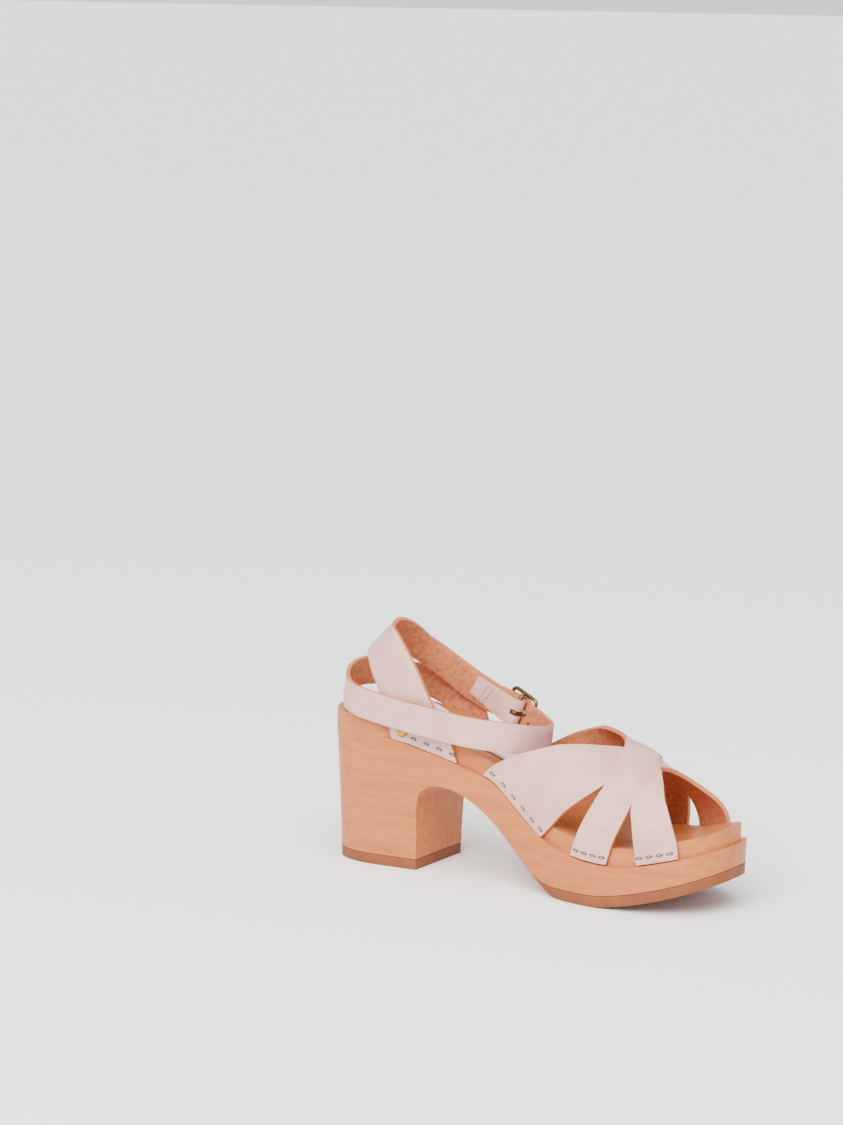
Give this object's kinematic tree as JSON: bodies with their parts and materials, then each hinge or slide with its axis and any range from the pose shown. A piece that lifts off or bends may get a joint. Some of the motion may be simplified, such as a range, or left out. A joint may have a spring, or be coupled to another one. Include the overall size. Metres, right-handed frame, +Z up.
{
  "type": "wooden sole sandal",
  "caption": "Left heeled sandal with a carved wooden sole and block heel, crossing leather vamp straps and a double ankle strap closed by a small buckle at its outer side.",
  "frame": {"origin": "on the floor plane, in the middle of the heel block's rubber top piece", "axes": "+X along the shoe to the toe, +Y to its outer side, +Z up from the floor"},
  "size_m": [0.2412, 0.0872, 0.1311],
  "materials": {
    "sole_wood": "light alder, fine grain, sealed satin",
    "sole_rubber": "matt",
    "pad_white": "smooth matt",
    "strap_leather": "pale pink-beige grain side, tan flesh side and edges",
    "buckle_brass": "antique, dark",
    "stud_brass": "bright"
  },
  "bodies": {
    "root": {"wood_sole": "sole_wood", "forefoot_outsole": "sole_rubber", "heel_lift": "sole_rubber", "heel_pad": "pad_white", "vamp_straps": "strap_leather", "ankle_strap_buckle_side": "strap_leather", "ankle_strap_tip_side": "strap_leather", "buckle_frame": "buckle_brass", "buckle_prong": "buckle_brass", "stud_medial": "stud_brass", "stud_lateral": "stud_brass"}
  },
  "joints": []
}
